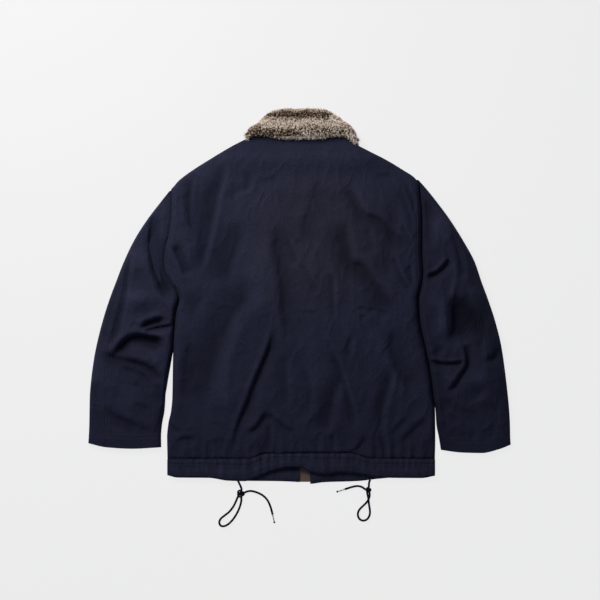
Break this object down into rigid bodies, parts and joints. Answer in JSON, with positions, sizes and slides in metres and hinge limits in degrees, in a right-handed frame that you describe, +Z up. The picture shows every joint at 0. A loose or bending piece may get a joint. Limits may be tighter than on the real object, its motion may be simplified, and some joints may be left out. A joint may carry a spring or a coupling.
{
  "type": "deck jacket",
  "caption": "Hip-length cloth deck jacket laid flat, back upwards, with a fur collar, two-piece sleeves and hem casings whose knotted drawcords lie out at the hem.",
  "frame": {"origin": "on the surface under the middle of the jacket's outline, drawcords left out", "axes": "+X from the left sleeve in view to the right one, +Y from hem to collar, +Z up out of the back"},
  "size_m": [0.886, 0.8811, 0.041],
  "materials": {
    "navy_cloth": "matt, densely corded cotton",
    "fur": "mottled pile with pale tips",
    "woven_tape": "matt",
    "braid": "matt braid",
    "nickel": "bright",
    "lacquer": "semi-gloss"
  },
  "bodies": {
    "root": {"front_left": "navy_cloth", "front_right": "navy_cloth", "back": "navy_cloth", "sleeve_left_under": "navy_cloth", "sleeve_left_top": "navy_cloth", "sleeve_right_under": "navy_cloth", "sleeve_right_top": "navy_cloth", "hem_back": "navy_cloth", "hem_front_left": "navy_cloth", "hem_front_right": "navy_cloth", "collar": "fur", "front_tape": "woven_tape", "cord_left_lead": "braid", "cord_left_loop": "braid", "cord_left_tail": "braid", "cord_right_lead": "braid", "cord_right_loop": "braid", "cord_right_tail": "braid", "knot_left": "braid", "knot_right": "braid", "cord_tip_left": "nickel", "cord_tip_right": "nickel", "cord_bead_left": "lacquer", "cord_bead_right": "lacquer"}
  },
  "joints": []
}
